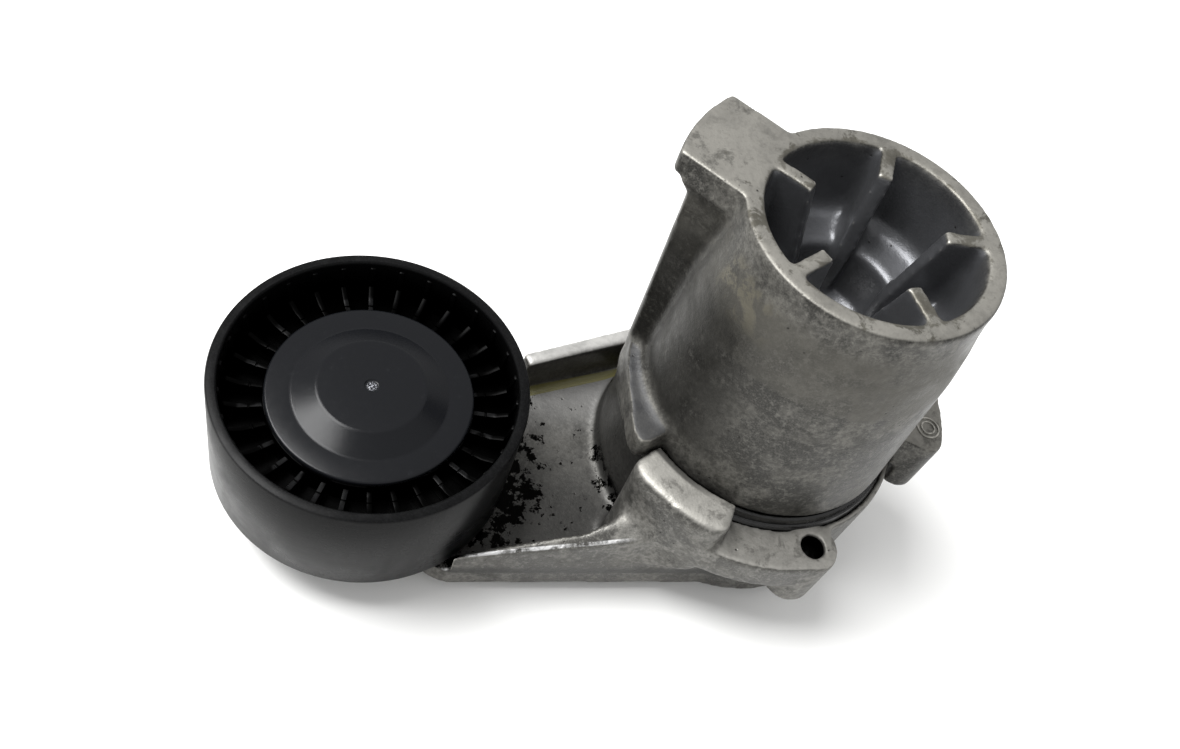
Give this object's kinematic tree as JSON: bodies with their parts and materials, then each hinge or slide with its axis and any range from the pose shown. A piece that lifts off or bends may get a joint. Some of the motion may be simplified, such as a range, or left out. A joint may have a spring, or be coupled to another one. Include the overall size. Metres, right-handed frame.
{
  "type": "belt tensioner",
  "caption": "Automatic belt tensioner: round cast spring housing, sprung swinging arm and a smooth black idler pulley on a ball bearing.",
  "frame": {"origin": "on the pivot axis, at the mounting bolt's head seat on the lower end of the hollow pivot shaft", "axes": "+Z along the pivot axis from the bolt head seat to the engine face, -X from the pivot to the pulley with the arm on its free stop"},
  "size_m": [0.1732, 0.0809, 0.1015],
  "materials": {
    "cast_aluminium": "die-cast skin, dull, with oil grime",
    "bare_steel": "turned",
    "bearing_steel": "ground and polished",
    "black_steel": "black phosphated",
    "bush_bronze": "sintered",
    "nylon": "natural nylon",
    "pulley_plastic": "moulded glass-filled nylon, satin and polished by the belt",
    "cap_plastic": "fine eroded texture",
    "black_rubber": "oiled",
    "seal_rubber": "moulded"
  },
  "bodies": {
    "housing": {"spring_housing": "cast_aluminium", "pivot_shaft": "bare_steel", "retaining_plate": "bare_steel", "torsion_spring": "black_steel"},
    "arm": {"tensioner_arm": "cast_aluminium", "upper_pivot_bush": "bush_bronze", "lower_pivot_bush": "bush_bronze", "thrust_washer": "nylon", "spring_seat": "nylon", "friction_lining": "nylon", "rim_seal": "black_rubber", "rear_dust_shield": "bare_steel", "spacer_sleeve": "bare_steel", "bearing_inner_ring": "bearing_steel", "bolt_washer": "bare_steel", "pulley_bolt": "black_steel"},
    "pulley": {"bearing_outer_ring": "bearing_steel", "bearing_seal_front": "seal_rubber", "bearing_seal_rear": "seal_rubber", "pulley_wheel": "pulley_plastic", "dust_cap": "cap_plastic"},
    "ball_set": {"bearing_balls": "bearing_steel", "ball_cage": "nylon"}
  },
  "joints": [
    {"name": "arm_pivot", "type": "hinge", "parent": "housing", "child": "arm", "pos_m": [0, 0, 0.02], "axis": [0, 0, 1], "range_deg": [0, 43.5], "stiffness_Nm_per_rad": 2, "springref_deg": -14.32, "deforming": ["torsion_spring"]},
    {"name": "pulley_spin", "type": "hinge", "parent": "arm", "child": "pulley", "pos_m": [-0.0948, 0, 0.0274], "axis": [0, 0, 1], "continuous": true},
    {"name": "ball_orbit", "type": "hinge", "parent": "arm", "child": "ball_set", "pos_m": [-0.0948, 0, 0.0274], "axis": [0, 0, 1], "continuous": true}
  ],
  "couplings": [
    {"joint": "ball_orbit", "follows": "pulley_spin", "ratio": 0.618}
  ]
}
